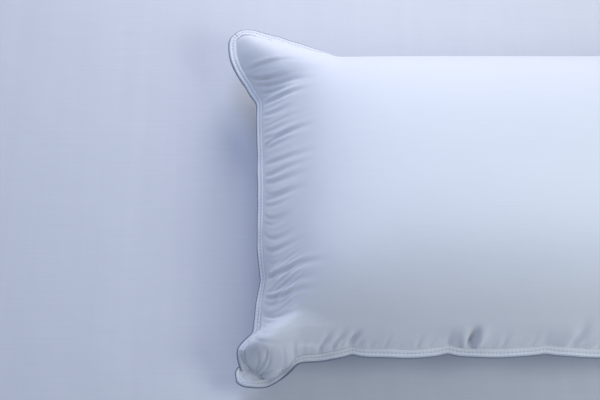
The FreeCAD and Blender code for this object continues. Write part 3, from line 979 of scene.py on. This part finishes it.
def cotton():
    """Down-proof cotton cambric: a tight plain weave with a soft bluish white."""
    m = Nodes("cotton_cambric", (0.80, 0.83, 0.88), 0.82, sheen=0.25, sheen_roughness=0.4)
    flat = m.flat()
    weave = m.math("MULTIPLY", m.wave(flat, "X", 1400), m.wave(flat, "Y", 1400))
    slub = m.noise(m.stretched(flat, (12, 420, 1)), 1, 3, 0.6)
    slack = m.noise(flat, 26, 2, 0.4)
    normal = m.bump(slack, 0.0009, 0.5)
    normal = m.bump(slub, 0.00025, 0.35, normal)
    normal = m.bump(weave, 0.0001, 0.3, normal)
    tone = m.math("ADD", m.math("MULTIPLY", m.noise(flat, 9, 3, 0.55), 0.5), m.math("MULTIPLY", slub, 0.5))
    return m.finish(m.blend(tone, (0.755, 0.790, 0.850), (0.835, 0.855, 0.895)), normal)


def binding_cloth():
    """Folded twill tape, a little denser and brighter than the panels."""
    m = Nodes("binding_tape", (0.80, 0.83, 0.87), 0.75, sheen=0.2)
    flat = m.flat()
    ribs = m.wave(flat, "X", 900)
    normal = m.bump(m.noise(flat, 420, 3), 0.0003, 0.5)
    normal = m.bump(ribs, 0.00015, 0.4, normal)
    tone = m.noise(flat, 40, 3)
    return m.finish(m.blend(tone, (0.76, 0.79, 0.84), (0.83, 0.855, 0.895)), normal)


def piping_cloth():
    """Fine cord in slate blue-grey."""
    m = Nodes("piping_cord", (0.22, 0.26, 0.34), 0.7, sheen=0.2)
    tone = m.noise(m.space(), 500, 3)
    return m.finish(m.blend(tone, (0.18, 0.22, 0.29), (0.26, 0.31, 0.40)), m.bump(tone, 0.0002, 0.5))


def thread():
    """Spun polyester sewing thread."""
    m = Nodes("sewing_thread", (0.45, 0.50, 0.60), 0.5, sheen=0.3)
    fibres = m.noise(m.space(), 2500, 2)
    return m.finish(m.blend(fibres, (0.38, 0.43, 0.53), (0.52, 0.57, 0.66)), m.bump(fibres, 0.0001, 0.5))


def label_ribbon():
    """Woven satin ribbon with nothing printed on it."""
    m = Nodes("label_ribbon", (0.86, 0.86, 0.85), 0.42, sheen=0.15)
    flat = m.flat()
    weave = m.math("ADD", m.wave(flat, "X", 2200), m.wave(flat, "Y", 900))
    tone = m.noise(flat, 120, 2)
    return m.finish(m.blend(tone, (0.82, 0.82, 0.81), (0.88, 0.88, 0.87)), m.bump(weave, 0.00008, 0.4))


def down():
    """Clusters of down and small feathers."""
    m = Nodes("down_filling", (0.82, 0.80, 0.76), 0.95, sheen=0.6)
    clusters = m.noise(m.space(), 90, 6, 0.65, 1.2)
    return m.finish(m.blend(clusters, (0.70, 0.68, 0.63), (0.88, 0.86, 0.82)), m.bump(clusters, 0.004, 0.8))


def bed_sheet():
    """The plain pale floor."""
    m = Nodes("floor_cloth", (0.665, 0.69, 0.748), 0.9, sheen=0.1)
    space = m.space()
    across = m.noise(m.stretched(space, (9, 330, 1)), 1, 3, 0.6)
    along = m.noise(m.stretched(space, (45, 1.5, 1)), 1, 3, 0.6)
    tone = m.math("ADD", m.math("MULTIPLY", across, 0.5), m.math("MULTIPLY", along, 0.5))
    normal = m.bump(m.noise(space, 7, 3, 0.5), 0.02, 0.15)
    return m.finish(m.blend(tone, (0.610, 0.637, 0.698), (0.720, 0.743, 0.798)), normal)


# ---- floor, light and camera -----------------------------------------


FLOOR_HALF = 4  # metres


def make_floor():
    """The level ground the pillow lies on."""
    corners = np.array([[-1, -1, 0], [1, -1, 0], [1, 1, 0], [-1, 1, 0]]) * FLOOR_HALF / MM
    floor = new_piece("floor", corners, np.array([[0, 1, 2, 3]]))
    floor.data.materials.append(bed_sheet())


def aim(item, target):
    """Turns a lamp or the camera towards a point."""
    item.rotation_euler = (Vector(target) - item.location).to_track_quat("-Z", "Y").to_euler()


LIT_POINT = Vector((-0.15, 0.0, 0.1))  # what the lamps shine at, in metres
LAMP_DISTANCE, LAMP_SIZE = 1.3, 0.6  # metres


def make_light(name, azimuth, elevation, power, colour):
    """A round soft lamp, by its direction from the lit point in degrees."""
    data = bpy.data.lights.new(name, "AREA")
    data.shape, data.size = "DISK", LAMP_SIZE
    data.energy, data.color = power, colour
    light = bpy.data.objects.new(name, data)
    bpy.context.scene.collection.objects.link(light)
    turn, rise = math.radians(azimuth), math.radians(elevation)
    direction = Vector((math.cos(rise) * math.cos(turn), math.cos(rise) * math.sin(turn), math.sin(rise)))
    light.location = LIT_POINT + direction * LAMP_DISTANCE
    aim(light, LIT_POINT)


def make_world(colour, strength):
    """Even light from all round, and plain colours in the picture."""
    world = bpy.data.worlds.new("studio")
    world.use_nodes = True
    background = world.node_tree.nodes["Background"]
    background.inputs["Color"].default_value = (*colour, 1)
    background.inputs["Strength"].default_value = strength
    bpy.context.scene.world = world
    bpy.context.scene.view_settings.view_transform = "Standard"


CAMERA_RISE = math.radians(63)  # over the horizon
CAMERA_DISTANCE = 1.605  # metres, as are the target's places
CAMERA_TARGET = Vector((-0.286, -0.0105, 0.09))
LENS, SENSOR = 80, 36


def make_camera():
    """The view from the front and well above, on the pillow's left part."""
    data = bpy.data.cameras.new("camera")
    data.lens, data.sensor_width = LENS, SENSOR
    camera = bpy.data.objects.new("camera", data)
    bpy.context.scene.collection.objects.link(camera)
    away = Vector((0, -math.cos(CAMERA_RISE), math.sin(CAMERA_RISE)))
    camera.location = CAMERA_TARGET + away * CAMERA_DISTANCE
    aim(camera, CAMERA_TARGET)
    bpy.context.scene.camera = camera


# ---- the whole scene -------------------------------------------------


def make_pillow():
    """Settles and sews the cloth, and makes every piece from it."""
    grid, rings = settle_cloth()
    grid, rings = sew(grid, rings)
    edge = Edge(rings)
    fabric, sewing = cotton(), thread()
    make_panel("top_panel", "shell_top_panel", grid[0], edge, 1, fabric)
    make_panel("bottom_panel", "shell_bottom_panel", grid[1], edge, -1, fabric)
    make_filling(grid, down())
    make_binding(edge, binding_cloth())
    make_piping(edge, piping_cloth())
    row_height = TAPE_HALF - PUFF + THREAD_RADIUS / 2
    make_stitches("topstitch_needle", "topstitch_needle_thread", edge, STITCH_ROW, row_height, sewing)
    make_stitches("topstitch_bobbin", "topstitch_bobbin_thread", edge, STITCH_ROW, -row_height, sewing)
    make_stitches("seam_needle", "seam_needle_thread", edge, SEAM_ROW, SEAM_LIFT, sewing)
    make_stitches("seam_bobbin", "seam_bobbin_thread", edge, SEAM_ROW, -SEAM_LIFT, sewing)
    low, high = cad_box_mm("closing_stitches")
    closing = sorted([edge.on_right(low[1]), edge.on_right(high[1])])
    make_stitches("closing_row", "closing_stitches", edge, CLOSING_ROW, SEAM_LIFT, sewing, closing)
    make_label(edge, label_ribbon())


make_pillow()
make_floor()
make_light("right_lamp", -30, 45, 5.1, (0.96, 1.0, 0.94))
make_light("low_back_lamp", 90, 30, 7.7, (1.0, 0.95, 0.90))
make_light("high_back_lamp", 120, 60, 5.2, (0.56, 0.67, 1.0))
make_world((0.70, 0.79, 1.0), 0.36)
make_camera()
